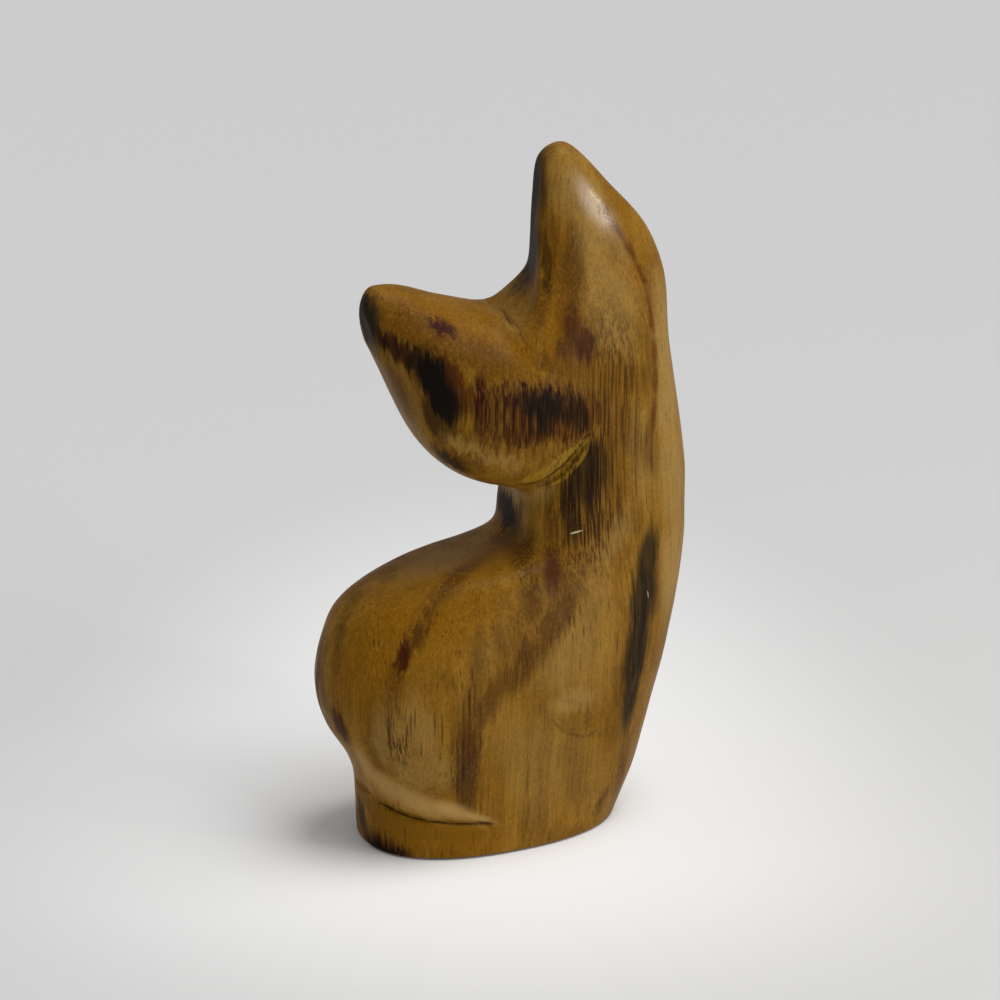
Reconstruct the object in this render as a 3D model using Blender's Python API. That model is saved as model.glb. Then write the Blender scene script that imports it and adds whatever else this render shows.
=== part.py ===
"""Carved wooden cat: one hand-shaped block of hardwood on a thin felt pad.

Metres, +Z up. The origin is the middle of the resting face. The cat sits side on along X, with its
chest at +X and its rump at -X. Its head is turned to look out at -Y, and tilted so that one ear
stands up and the other points back over the rump.
"""

import math

import bmesh
import bpy
from mathutils import Vector

# Foot and pad
foot_length = 0.0468
foot_depth = 0.0306
foot_squareness = 2.3  # exponent of the rounded oval: 2 is an ellipse
pad_thickness = 0.0010
pad_inset = 0.0009  # the pad stays this far inside the foot's edge
pad_proud = 0.0003  # how far the pad stands out of its recess
glue_gap = 0.0003

# Heights up the figure
tail_height = 0.0092  # the cut above the tail that wraps the foot
haunch_height = 0.0290  # where the rump reaches furthest back
back_height = 0.0515  # top of the back, where it runs into the nape
nape_height = 0.0575  # narrowest part of the neck
chin_height = 0.0628
brow_height = 0.0830  # the soft edge between the upright face and the sloping top of the head
crease_height = 0.0932  # bottom of the notch between the ears
back_ear_height = 0.1002  # top of the ear that points back
figure_height = 0.1224

# Reaches along X, from the middle of the foot
rump_reach = 0.0313
chest_reach = 0.0375
back_ear_reach = 0.0216
nape_place = 0.0050
chin_place = 0.0065
cheek_place = 0.0255  # the head has run into the neck here
flank_place = 0.0095  # the flat flank of the upright ear
crease_place = 0.0030
haunch_place = 0.0028  # where the haunch is widest
thigh_reach = 0.0160
thigh_place = 0.0080  # the middle of the haunch is this far behind the origin
jaw_place = 0.0120

# Half depths along Y
haunch_half = 0.0167
thigh_half = 0.0174
neck_half = 0.0126
face_half = 0.0130
head_back = 0.0113
ear_half = 0.0064

# Carved cuts
crease_fall = 0.20  # the crease between the ears drops this much for each metre towards -Y
gap_reach = 0.0180
gap_steps = 24
ear_end_cut = 0.0005  # how much is sawn off the end of the ear that points back
ear_end_lean = math.radians(-13)
upper_reach = 0.0120  # how far the faces of a cutter go from its deepest line
lower_reach = 0.0060
tail_drop = 0.0100  # how much the lower face falls over that distance
jaw_drop = 0.0100
cut_steps = 5  # facets of a cutter between two points of its path

# Making of the surface
ring_points = 60
ring_step = 0.0012  # the skin has a ring at least this often between sections
surface_grain = 0.0008  # size of the cubes that the joined forms are rebuilt from
soft_passes = 14
kept_faces = 0.14  # share of the sanded skin's faces that are kept


def clear_scene():
    for item in list(bpy.data.objects):
        bpy.data.objects.remove(item, do_unlink=True)


def finish(name, colour, roughness):
    material = bpy.data.materials.new(name)
    material.use_nodes = True
    shader = material.node_tree.nodes["Principled BSDF"]
    shader.inputs["Base Color"].default_value = (*colour, 1.0)
    shader.inputs["Roughness"].default_value = roughness
    shader.inputs["Metallic"].default_value = 0.0
    material.diffuse_color = (*colour, 1.0)
    return material


def part_way(start, end, share):
    return start + share * (end - start)


def smooth_sections(sections):
    """Sections read off a smooth curve through the given ones; the first value of each is its place."""
    def slope(i, k):
        before, after = sections[max(i - 1, 0)], sections[min(i + 1, len(sections) - 1)]
        return (after[k] - before[k]) / (after[0] - before[0])

    rows = [sections[0]]
    for i in range(len(sections) - 1):
        start, end = sections[i], sections[i + 1]
        span = end[0] - start[0]
        steps = max(1, round(span / ring_step))
        for step in range(1, steps + 1):
            t = step / steps
            row = [start[0] + t * span]
            for k in range(1, len(start)):
                row.append((2 * t**3 - 3 * t**2 + 1) * start[k] + (t**3 - 2 * t**2 + t) * span * slope(i, k)
                           + (3 * t**2 - 2 * t**3) * end[k] + (t**3 - t**2) * span * slope(i + 1, k))
            rows.append(tuple(row))
    return rows


def between(before, start, end, after, t):
    """The point at t, from 0 to 1, of a smooth curve from start to end."""
    return tuple(
        0.5 * (2 * b + (c - a) * t + (2 * a - 5 * b + 4 * c - d) * t**2 + (3 * b - a - 3 * c + d) * t**3)
        for a, b, c, d in zip(before, start, end, after))


def smooth_loop(corners):
    """Points of a closed, smooth curve through the corners, an equal number between each two."""
    count = len(corners)
    per_corner = ring_points // count
    return [between(*(corners[(i + k) % count] for k in (-1, 0, 1, 2)), step / per_corner)
            for i in range(count) for step in range(per_corner)]


def smooth_path(points):
    """Points of an open, smooth curve through the given ones."""
    last = len(points) - 1
    path = [between(*(points[min(max(i + k, 0), last)] for k in (-1, 0, 1, 2)), step / cut_steps)
            for i in range(last) for step in range(cut_steps)]
    return path + [points[-1]]


def rounded(turn, squareness):
    """A point of a unit superellipse: round at 2, squarer above."""
    c, s = math.cos(turn), math.sin(turn)
    power = 2.0 / squareness
    return math.copysign(abs(c) ** power, c), math.copysign(abs(s) ** power, s)


def level_ring(z, low_x, widest, high_x, deep, rump_square, chest_square):
    """One level section, the same on both sides. Each end has its own length and squareness."""
    ring = []
    for step in range(ring_points):
        turn = 2 * math.pi * (step + 0.5) / ring_points
        c, s = rounded(turn, chest_square if math.cos(turn) > 0 else rump_square)
        ring.append(Vector((widest + c * (high_x - widest if c > 0 else widest - low_x), deep * s, z)))
    return ring


def head_ring(x, chin, brow, top, front, back):
    """One upright section of the head: an upright face below the brow, and a round slope back above it."""
    face, roof = brow - chin, top - brow
    corners = (
        (0.42 * back, top), (0.10 * back + 0.30 * front, top - 0.16 * roof),
        (0.70 * front, brow + 0.46 * roof), (0.94 * front, brow + 0.04 * roof),
        (front, brow - 0.38 * face), (0.82 * front, chin + 0.16 * face), (0.30 * front, chin),
        (0.60 * back, chin + 0.10 * face), (0.98 * back, chin + 0.45 * face),
        (back, brow + 0.20 * roof), (0.84 * back, top - 0.16 * roof),
    )
    return [Vector((x, y, z)) for y, z in smooth_loop(corners)]


def loft(name, rings):
    """A closed skin over a row of rings, with a flat face at each end."""
    skin = bmesh.new()
    rows = [[skin.verts.new(point) for point in ring] for ring in rings]
    count = len(rows[0])
    for lower, upper in zip(rows, rows[1:]):
        for i in range(count):
            j = (i + 1) % count
            skin.faces.new((lower[i], lower[j], upper[j], upper[i]))
    skin.faces.new(rows[0])
    skin.faces.new(rows[-1])
    bmesh.ops.recalc_face_normals(skin, faces=skin.faces)
    mesh = bpy.data.meshes.new(name)
    skin.to_mesh(mesh)
    skin.free()
    item = bpy.data.objects.new(name, mesh)
    bpy.context.collection.objects.link(item)
    return item


def guide(item):
    item.hide_render = True
    item.display_type = "WIRE"
    return item


def boolean(item, other, operation):
    step = item.modifiers.new(other.name, "BOOLEAN")
    step.operation = operation
    step.object = other
    step.solver = "EXACT"


# A section's row holds its height, its -X edge, where it is widest, its +X edge, its half depth, and the
# squareness of its -X end and of its +X end.


def rump_sections():
    """From below the floor up to where the rump reaches furthest back."""
    foot, side = foot_length / 2, foot_depth / 2
    return (
        (-0.22 * tail_height, -foot, 0.0, 0.99 * foot, side, foot_squareness, foot_squareness),
        (0.43 * tail_height, -1.02 * foot, 0.03 * foot, 1.10 * foot, 1.03 * side, 2.35, 2.35),
        (tail_height, -1.02 * foot, 0.08 * foot, 1.20 * foot, 1.04 * side, 2.40, 2.40),
        (part_way(tail_height, haunch_height, 0.14), -0.770 * rump_reach, 0.8 * haunch_place,
         0.772 * chest_reach, 0.96 * haunch_half, 2.38, 2.40),
        (part_way(tail_height, haunch_height, 0.39), -0.828 * rump_reach, 0.8 * haunch_place,
         0.811 * chest_reach, 0.97 * haunch_half, 2.34, 2.42),
        (part_way(tail_height, haunch_height, 0.67), -0.940 * rump_reach, 0.8 * haunch_place,
         0.853 * chest_reach, 0.99 * haunch_half, 2.30, 2.42),
        (haunch_height, -rump_reach, haunch_place, 0.904 * chest_reach, haunch_half, 2.27, 2.43),
    )


def back_sections():
    """From the rump to the nape: the section goes part of the way from one to the other."""
    shape = (
        # part of the way up, of the way forward, of the way from the rump's widest place to the neck's,
        # +X edge by the chest, of the way thinner, and the squareness of both ends
        (haunch_height, back_height, 0.27, 0.005, 0.12, 0.941, 0.05, 2.25, 2.42),
        (haunch_height, back_height, 0.49, 0.047, 0.29, 0.968, 0.18, 2.28, 2.40),
        (haunch_height, back_height, 0.67, 0.102, 0.47, 0.989, 0.37, 2.31, 2.38),
        (haunch_height, back_height, 0.82, 0.240, 0.65, 1.000, 0.57, 2.37, 2.39),
        (haunch_height, back_height, 0.93, 0.450, 0.78, 1.004, 0.71, 2.45, 2.43),
        (back_height, nape_height, 0.00, 0.780, 0.87, 1.005, 0.79, 2.57, 2.48),
        (back_height, nape_height, 0.23, 0.935, 0.93, 1.005, 0.86, 2.73, 2.52),
        (back_height, nape_height, 0.50, 0.990, 0.97, 1.003, 0.93, 3.14, 2.56),
        (back_height, nape_height, 1.00, 1.000, 1.00, 1.000, 1.00, 3.60, 2.60),
    )
    return tuple(
        (part_way(low, high, up), part_way(-rump_reach, nape_place, forward),
         part_way(haunch_place, (nape_place + chest_reach) / 2, widest), front * chest_reach,
         part_way(haunch_half, neck_half, thinner), rump_square, chest_square)
        for low, high, up, forward, widest, front, thinner, rump_square, chest_square in shape)


def upper_section(z, low_x, high_x, deep, rump_square, chest_square):
    """A section that is widest half-way along."""
    return z, low_x, (low_x + high_x) / 2, high_x, deep, rump_square, chest_square


def neck_sections():
    """From above the nape to the crease between the ears, hidden inside the head at the -X end."""
    shape = (
        # part of the way up from the lower height to the upper one, -X edge by the nape, +X edge by the
        # chest, part of the way from the neck's half depth to the ear's, and the squareness of both ends
        (nape_height, brow_height, 0.25, 1.12, 1.000, 0.04, 3.4, 2.6),
        (nape_height, brow_height, 0.53, 0.96, 0.976, 0.06, 3.0, 2.6),
        (nape_height, brow_height, 0.84, 0.40, 0.941, 0.05, 3.0, 2.6),
        (brow_height, crease_height, 0.39, -0.20, 0.907, 0.09, 3.0, 2.6),
        (brow_height, crease_height, 0.88, 0.10, 0.901, 0.26, 2.8, 2.6),
    )
    return tuple(
        upper_section(part_way(low, high, up), back * nape_place, front * chest_reach,
                      part_way(neck_half, ear_half, thinner), rump_square, chest_square)
        for low, high, up, back, front, thinner, rump_square, chest_square in shape)


def ear_sections():
    """The upright ear, to its tip."""
    shape = (
        # part of the way up, -X edge by the flank, +X edge by the chest, half depth, squareness of both ends
        (0.10, 0.40, 0.901, 1.50, 2.5, 2.6), (0.23, 0.74, 0.888, 1.28, 2.3, 2.6),
        (0.43, 0.88, 0.827, 1.00, 2.2, 2.6), (0.575, 0.905, 0.747, 0.84, 2.2, 2.6),
        (0.71, 0.93, 0.645, 0.75, 2.2, 2.5), (0.85, 0.99, 0.541, 0.64, 2.2, 2.4),
        (0.945, 1.14, 0.469, 0.52, 2.1, 2.2), (1.00, 1.35, 0.419, 0.23, 2.0, 2.0),
    )
    return tuple(
        upper_section(part_way(crease_height, figure_height, up), back * flank_place, front * chest_reach,
                      deep * ear_half, rump_square, chest_square)
        for up, back, front, deep, rump_square, chest_square in shape)


def body():
    """Foot, rump, chest, neck and the upright ear: level sections from the floor to the ear's tip."""
    sections = rump_sections() + back_sections() + neck_sections() + ear_sections()
    return loft("body", [level_ring(*row) for row in smooth_sections(sections)])


def thigh():
    """The slight swelling of the thigh on both sides of the rump."""
    shape = (
        # height, then the -X edge, the +X edge and the half depth as shares of the thigh's
        (0.34 * haunch_height, 0.69, -0.25, 0.78), (0.52 * haunch_height, 0.77, -0.06, 0.89),
        (0.72 * haunch_height, 0.86, 0.19, 0.97), (0.97 * haunch_height, 0.93, 0.50, 1.00),
        (part_way(haunch_height, back_height, 0.27), 0.90, 0.81, 0.97),
        (part_way(haunch_height, back_height, 0.53), 0.80, 1.00, 0.89),
        (part_way(haunch_height, back_height, 0.76), 0.61, 1.00, 0.78),
        (part_way(haunch_height, back_height, 0.89), 0.38, 0.88, 0.63),
    )
    sections = [upper_section(z, -back * rump_reach, front * thigh_reach, deep * thigh_half, 2.1, 2.1)
                for z, back, front, deep in shape]
    return loft("thigh", [level_ring(*row) for row in smooth_sections(sections)])


def head():
    """The turned head and the ear that points back: upright sections from the ear's end to the cheek."""
    ear, chin, cheek = -back_ear_reach, chin_place, cheek_place
    shape = (
        # place; chin, part of the way from the chin to the ear; brow and top, from the brow to the ear;
        # front by the face, back by the head's back
        (ear, 0.794, 0.640, 0.900, -0.02, 0.35), (part_way(ear, chin, 0.057), 0.695, 0.552, 1.006, 0.15, 0.49),
        (part_way(ear, chin, 0.139), 0.561, 0.453, 1.000, 0.32, 0.58),
        (part_way(ear, chin, 0.235), 0.396, 0.360, 0.988, 0.48, 0.66),
        (part_way(ear, chin, 0.349), 0.243, 0.256, 0.930, 0.64, 0.75),
        (part_way(ear, chin, 0.484), 0.139, 0.151, 0.849, 0.79, 0.83),
        (part_way(ear, chin, 0.644), 0.072, 0.076, 0.767, 0.90, 0.90),
        (part_way(ear, chin, 0.822), 0.032, 0.035, 0.692, 0.97, 0.95),
        (chin, 0.000, 0.006, 0.700, 1.00, 0.98),
        (part_way(chin, cheek, 0.263), 0.032, -0.017, 0.740, 0.99, 1.00),
        (part_way(chin, cheek, 0.526), 0.112, -0.070, 0.680, 0.95, 0.99),
        (part_way(chin, cheek, 0.789), 0.233, -0.163, 0.430, 0.87, 0.93),
        (cheek, 0.340, -0.262, 0.000, 0.76, 0.84),
    )
    sections = [(x, part_way(chin_height, back_ear_height, low), part_way(brow_height, back_ear_height, edge),
                 part_way(brow_height, back_ear_height, top), -front * face_half, back * head_back)
                for x, low, edge, top, front, back in shape]
    return loft("head", [head_ring(*row) for row in smooth_sections(sections)])


def ear_gap():
    """What is cut away between the ears: a flat flank on the upright ear, curving into a crease."""
    flank = (
        # x by the flank, part of the way up to the ear's tip, and how much x grows for each metre towards +Y
        (1.16, 1.12, 0.15), (1.09, 0.88, 0.15), (1.02, 0.575, 0.17), (1.00, 0.40, 0.21),
        (0.99, 0.27, 0.26), (0.93, 0.18, 0.26), (0.70, 0.086, 0.15), (crease_place / flank_place, 0.0, 0.0),
    )
    far_side = ((-0.32, 0.23, 0.0), (-0.63, 1.12, 0.0))
    outline = [(share * flank_place, part_way(crease_height, figure_height, up), turn)
               for share, up, turn in smooth_path(flank) + list(far_side)]
    places = [gap_reach * (2 * step / gap_steps - 1) for step in range(gap_steps + 1)]
    return guide(loft("ear_gap", [[Vector((x + turn * y, y, z + crease_fall * y)) for x, z, turn in outline]
                                  for y in places]))


def ear_end():
    """The flat end of the ear that points back."""
    reach = 0.02
    place = Vector((ear_end_cut - back_ear_reach, 0.0, part_way(brow_height, back_ear_height, 0.64)))
    bpy.ops.mesh.primitive_cube_add(size=2 * reach)
    cutter = bpy.context.object
    cutter.name = "ear_end"
    cutter.rotation_euler = (0, ear_end_lean, 0)
    cutter.location = place - Vector((math.cos(ear_end_lean), 0, -math.sin(ear_end_lean))) * reach
    return guide(cutter)


def gouge(name, path, side, middle, drop):
    """A V-shaped cut: each row has its deepest point, then a point that its upper face passes through."""
    rings = []
    for x, y, z, upper_x, upper_y, upper_z in smooth_path(path):
        tip = Vector((x, side * y, z))
        upward = (Vector((upper_x, side * upper_y, upper_z)) - tip).normalized()
        out = Vector((x - middle, side * y, 0)).normalized()
        rings.append([tip, tip + upward * upper_reach, tip + out * lower_reach - Vector((0, 0, drop))])
    return guide(loft(name, rings))


def tail_cut(side):
    """The undercut above the tail, from the rump's end round to one side."""
    shape = (
        # shares of the foot's half length, of its half depth and of the tail's height
        (-0.996, -0.13, 1.16, -1.13, -0.13, 1.74), (-0.996, 0.10, 1.16, -1.13, 0.13, 1.74),
        (-0.996, 0.30, 1.13, -1.10, 0.48, 1.85), (-0.944, 0.42, 1.02, -1.02, 0.70, 1.96),
        (-0.850, 0.59, 0.93, -0.88, 0.85, 1.80), (-0.756, 0.71, 0.87, -0.735, 0.915, 1.54),
        (-0.637, 0.81, 0.80, -0.58, 0.95, 1.29), (-0.479, 0.90, 0.75, -0.44, 0.98, 1.09),
        (-0.333, 0.96, 0.72, -0.316, 1.00, 0.87), (-0.239, 1.00, 0.70, -0.23, 1.03, 0.76),
        (-0.197, 1.05, 0.685, -0.188, 1.08, 0.74),
    )
    scale = (foot_length / 2, foot_depth / 2, tail_height) * 2
    return gouge("tail_cut", [tuple(a * b for a, b in zip(row, scale)) for row in shape],
                 side, -thigh_place, tail_drop)


def jaw_cut(side):
    """The cut that frees the jaw from the neck, from the nape round one side of the face."""
    shape = (
        # part of the way from the nape to the cheek, share of the face's half depth, part of the way from
        # the chin to the brow
        (-0.207, 0.305, 0.059, -0.325, 0.489, 0.149), (-0.079, 0.550, 0.079, -0.167, 0.748, 0.193),
        (0.020, 0.656, 0.094, -0.064, 0.832, 0.243), (0.118, 0.733, 0.124, 0.030, 0.885, 0.282),
        (0.207, 0.779, 0.183, 0.113, 0.924, 0.342), (0.281, 0.817, 0.252, 0.197, 0.947, 0.401),
        (0.365, 0.855, 0.356, 0.291, 0.962, 0.480), (0.424, 0.893, 0.460, 0.369, 0.977, 0.545),
        (0.468, 0.954, 0.535, 0.433, 1.008, 0.589), (0.493, 1.038, 0.584, 0.458, 1.092, 0.639),
    )
    path = [tuple(value for along, deep, up in (row[:3], row[3:])
                  for value in (part_way(nape_place, cheek_place, along), deep * face_half,
                                part_way(chin_height, brow_height, up)))
            for row in shape]
    return gouge("jaw_cut", path, side, jaw_place, jaw_drop)


def foot_outline(inset, z):
    half = foot_length / 2 - inset
    return level_ring(z, -half, 0.0, half, foot_depth / 2 - inset, foot_squareness, foot_squareness)


def slab_below(z):
    reach = 0.2
    bpy.ops.mesh.primitive_cube_add(size=reach, location=(0, 0, z - reach / 2))
    cutter = bpy.context.object
    cutter.name = "floor_cut"
    return guide(cutter)


def carved_cat():
    cat = body()
    cat.name = "carved_cat"
    boolean(cat, guide(thigh()), "UNION")
    boolean(cat, guide(head()), "UNION")
    rebuild = cat.modifiers.new("one skin", "REMESH")
    rebuild.mode = "VOXEL"
    rebuild.voxel_size = surface_grain
    soften = cat.modifiers.new("sanded", "SMOOTH")
    soften.factor = 0.5
    soften.iterations = soft_passes
    thin = cat.modifiers.new("fewer faces", "DECIMATE")
    thin.ratio = kept_faces
    boolean(cat, ear_gap(), "DIFFERENCE")
    boolean(cat, ear_end(), "DIFFERENCE")
    for side in (-1, 1):
        boolean(cat, tail_cut(side), "DIFFERENCE")
    boolean(cat, jaw_cut(-1), "DIFFERENCE")
    boolean(cat, slab_below(pad_proud), "DIFFERENCE")
    recess = loft("pad_recess", [foot_outline(pad_inset - glue_gap, z) for z in (-glue_gap, pad_thickness + glue_gap)])
    boolean(cat, guide(recess), "DIFFERENCE")
    return cat


def felt_pad():
    return loft("felt_pad", [foot_outline(pad_inset, z) for z in (0.0, pad_thickness)])


clear_scene()
cat = carved_cat()
cat.data.materials.append(finish("oiled hardwood", (0.22, 0.12, 0.035), 0.42))
cat.data.shade_smooth()
pad = felt_pad()
pad.data.materials.append(finish("black felt", (0.012, 0.011, 0.010), 0.95))
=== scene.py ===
import math

import bpy
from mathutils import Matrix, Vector
from mathutils.kdtree import KDTree


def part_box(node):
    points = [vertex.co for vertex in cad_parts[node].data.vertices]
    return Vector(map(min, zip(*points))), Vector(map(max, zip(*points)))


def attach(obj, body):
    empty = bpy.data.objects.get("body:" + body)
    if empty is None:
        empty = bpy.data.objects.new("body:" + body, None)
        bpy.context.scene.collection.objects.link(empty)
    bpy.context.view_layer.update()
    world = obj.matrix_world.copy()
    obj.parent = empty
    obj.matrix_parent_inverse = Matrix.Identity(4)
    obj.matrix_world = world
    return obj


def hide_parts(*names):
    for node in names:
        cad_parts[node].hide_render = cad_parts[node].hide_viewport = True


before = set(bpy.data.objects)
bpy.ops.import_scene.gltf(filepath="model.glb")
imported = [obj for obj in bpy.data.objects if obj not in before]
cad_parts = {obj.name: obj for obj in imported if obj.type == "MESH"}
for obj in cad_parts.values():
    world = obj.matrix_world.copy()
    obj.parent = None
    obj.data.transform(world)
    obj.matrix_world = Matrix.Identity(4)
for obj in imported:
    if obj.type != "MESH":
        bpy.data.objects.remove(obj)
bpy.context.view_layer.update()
scene = bpy.context.scene
mm = 0.001


def linear(colour):
    # sRGB hex, as a colour picker shows it, to the linear values that a shader works in
    parts = [int(colour[i:i + 2], 16) / 255 for i in (1, 3, 5)]
    return (*(c / 12.92 if c <= 0.04045 else ((c + 0.055) / 1.055) ** 2.4 for c in parts), 1.0)


def deselectAll():
    if bpy.context.object and bpy.context.object.mode != "OBJECT":
        bpy.ops.object.mode_set(mode="OBJECT")
    bpy.ops.object.select_all(action="DESELECT")


def makeActive(piece):
    deselectAll()
    piece.select_set(True)
    bpy.context.view_layer.objects.active = piece


def applyModifier(piece, kind, **settings):
    makeActive(piece)
    step = piece.modifiers.new(kind.lower(), kind)
    for name, value in settings.items():
        setattr(step, name, value)
    bpy.ops.object.modifier_apply(modifier=step.name)


# The carved figure: the frame's own solid, rebuilt as a fine skin, sanded, and scored with small tool marks.
figureCarving = {
    "weld": 0.01 * mm,  # corners of the solid closer than this are one corner
    "skin": 0.24 * mm,  # size of the cubes that the skin is rebuilt from
    "arrisAngle": 24,  # edges sharper than this many degrees were left by the knife
    "sandedAbove": 80 * mm,  # the edges of the ears were sanded round
    "earEnd": -18.5 * mm,  # but the blunt end of the low ear was left crisp
    "arrisStep": 0.3 * mm,  # spacing of the points that mark a knife edge
    "arrisCrisp": 0.8 * mm,  # the skin stays crisp this close to a knife edge
    "arrisFade": 2.4 * mm,  # and is fully sanded this far from it
    "pass": 0.5,  # how far one smoothing pass moves a point towards its neighbours' middle
    "sanding": 40,  # smoothing passes away from the knife edges
    "handling": 2,  # passes all over, as years of handling round a crisp edge
    "wavesSize": 9 * mm,  # sanding by hand left soft waves this wide
    "wavesHeight": 0.20 * mm,
    "wavesMiddle": 0.62,  # above a half, so that the waves mostly take wood away
    "scoreStep": 0.2 * mm,  # spacing of the points along a tool's path
    "scoreEnds": 0.06,  # above 0, so that the tool is already a little pressed in where it enters
    "faces": 190000,  # triangles that the skin is thinned to
}

# scores: points in mm that the tool ran through, its half width, and how deep it went
toolMarks = {
    "earCrease": ([(2.6, 1.6, 94.4), (3.8, 0.7, 93.9), (3.5, -3.0, 92.9), (3.7, -5.9, 91.2),
                   (4.4, -7.6, 89.4), (5.2, -8.6, 88.0)], 0.55, 0.24),
    "earCreaseTwin": ([(1.5, -0.6, 94.2), (2.0, -3.2, 93.2), (2.4, -5.6, 91.9), (3.0, -7.4, 90.2)],
                      0.5, 0.14),
    "dent": ([(5.2, -16.4, 26.0), (7.2, -16.2, 22.9), (10.7, -15.9, 19.4), (14.0, -15.3, 18.9),
              (17.0, -15.0, 20.4)], 1.3, 0.26),
    "dentUpper": ([(5.0, -16.2, 28.6), (9.0, -16.0, 26.4), (13.0, -15.6, 25.6)], 1.0, 0.15),
    "dentShort": ([(15.2, -15.2, 25.6), (17.2, -15.1, 24.2), (18.0, -15.0, 22.0)], 0.8, 0.20),
    "tailCrease": ([(-23.4, 0.4, 10.7), (-23.4, -3.0, 10.5), (-22.7, -5.7, 9.8), (-20.8, -8.0, 8.8),
                    (-18.9, -10.1, 8.2), (-16.7, -11.6, 7.6), (-14.3, -12.7, 7.2), (-11.9, -13.6, 6.9),
                    (-9.4, -14.4, 6.6), (-7.6, -14.7, 6.6), (-5.9, -15.2, 6.5)], 0.55, 0.55),
    "jawCrease": ([(2.3, -5.9, 64.4), (4.2, -7.8, 64.6), (6.4, -9.1, 65.0), (8.8, -10.0, 66.1),
                   (10.5, -10.6, 67.5), (12.1, -11.1, 69.4), (13.4, -11.5, 71.5),
                   (14.4, -12.2, 73.2)], 0.5, 0.55),
    "tailNick": ([(-8.6, -14.9, 7.0), (-6.8, -15.2, 6.3), (-5.6, -15.3, 5.2)], 0.7, 0.40),
    "cheekScratch": ([(31.0, -10.8, 68.8), (30.6, -11.2, 66.2), (29.6, -11.8, 63.6)], 0.45, 0.14),
}


def growTree(points):
    tree = KDTree(len(points))
    for i, point in enumerate(points):
        tree.insert(point, i)
    tree.balance()
    return tree


def findArrises(figure):
    # points along the edges that the knife left crisp
    makeActive(figure)
    bpy.ops.object.mode_set(mode="EDIT")
    bpy.ops.mesh.select_all(action="SELECT")
    bpy.ops.mesh.remove_doubles(threshold=figureCarving["weld"])
    bpy.ops.mesh.select_all(action="DESELECT")
    bpy.ops.mesh.select_mode(type="EDGE")
    bpy.ops.mesh.edges_select_sharp(sharpness=math.radians(figureCarving["arrisAngle"]))
    bpy.ops.object.mode_set(mode="OBJECT")
    arrises = []
    for edge in figure.data.edges:
        a, b = (figure.data.vertices[i].co for i in edge.vertices)
        if edge.select and (a.z < figureCarving["sandedAbove"] or a.x < figureCarving["earEnd"]):
            steps = max(1, math.ceil((b - a).length / figureCarving["arrisStep"]))
            arrises += [a.lerp(b, step / steps) for step in range(steps + 1)]
    print("knife edges found:", len(arrises), "points")
    return arrises


def sandFigure(figure, arrises):
    arrisTree = growTree(arrises)
    crisp, full = figureCarving["arrisCrisp"], figureCarving["arrisFade"]
    group = figure.vertex_groups.new(name="sandable")
    for vertex in figure.data.vertices:
        reach = (arrisTree.find(vertex.co)[2] - crisp) / (full - crisp)
        group.add([vertex.index], min(1.0, max(0.0, reach)), "REPLACE")
    applyModifier(figure, "SMOOTH", factor=figureCarving["pass"], iterations=figureCarving["sanding"],
                  vertex_group="sandable")
    applyModifier(figure, "SMOOTH", factor=figureCarving["pass"], iterations=figureCarving["handling"])
    waves = bpy.data.textures.new("handSanding", "CLOUDS")
    waves.noise_scale = figureCarving["wavesSize"]
    waves.noise_depth = 1
    applyModifier(figure, "DISPLACE", texture=waves, texture_coords="LOCAL",
                  mid_level=figureCarving["wavesMiddle"], strength=figureCarving["wavesHeight"],
                  vertex_group="sandable")


def layPath(figure, points):
    # a tool's path laid on the skin: each of its points, and how far the tool is pressed in there
    path = []
    ends = figureCarving["scoreEnds"]
    for i, (start, end) in enumerate(zip(points, points[1:])):
        start, end = Vector(start) * mm, Vector(end) * mm
        steps = max(1, math.ceil((end - start).length / figureCarving["scoreStep"]))
        for step in range(steps + 1):
            place = figure.closest_point_on_mesh(start.lerp(end, step / steps))[1]
            share = (i + step / steps) / (len(points) - 1)
            path.append((place, math.sin(math.pi * (ends + (1 - 2 * ends) * share))))
    return path


def scoreFigure(figure):
    scores = []
    for points, width, depth in toolMarks.values():
        scores += [(place, width * mm, depth * pressed) for place, pressed in layPath(figure, points)]
    scoreTree = growTree([place for place, width, depth in scores])
    deepest = max(depth for place, width, depth in scores)
    group = figure.vertex_groups.new(name="scored")
    for vertex in figure.data.vertices:
        place, i, reach = scoreTree.find(vertex.co)
        width, depth = scores[i][1:]
        if reach < width:
            group.add([vertex.index], depth / deepest * (1 - reach / width), "REPLACE")
    applyModifier(figure, "DISPLACE", mid_level=0.0, strength=-deepest * mm, vertex_group="scored")
    print("tool marks scored:", len(toolMarks))


def carveFigure():
    figure = bpy.data.objects.new("carvedFigure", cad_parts["carved_cat"].data.copy())
    scene.collection.objects.link(figure)
    arrises = findArrises(figure)
    applyModifier(figure, "REMESH", mode="VOXEL", voxel_size=figureCarving["skin"])
    sandFigure(figure, arrises)
    scoreFigure(figure)
    triangles = sum(len(face.vertices) - 2 for face in figure.data.polygons)
    applyModifier(figure, "DECIMATE", ratio=min(1.0, figureCarving["faces"] / triangles))
    figure.vertex_groups.clear()
    figure.data.materials.clear()
    figure.data.shade_smooth()
    print("carved figure:", len(figure.data.polygons), "faces")
    return figure


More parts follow.
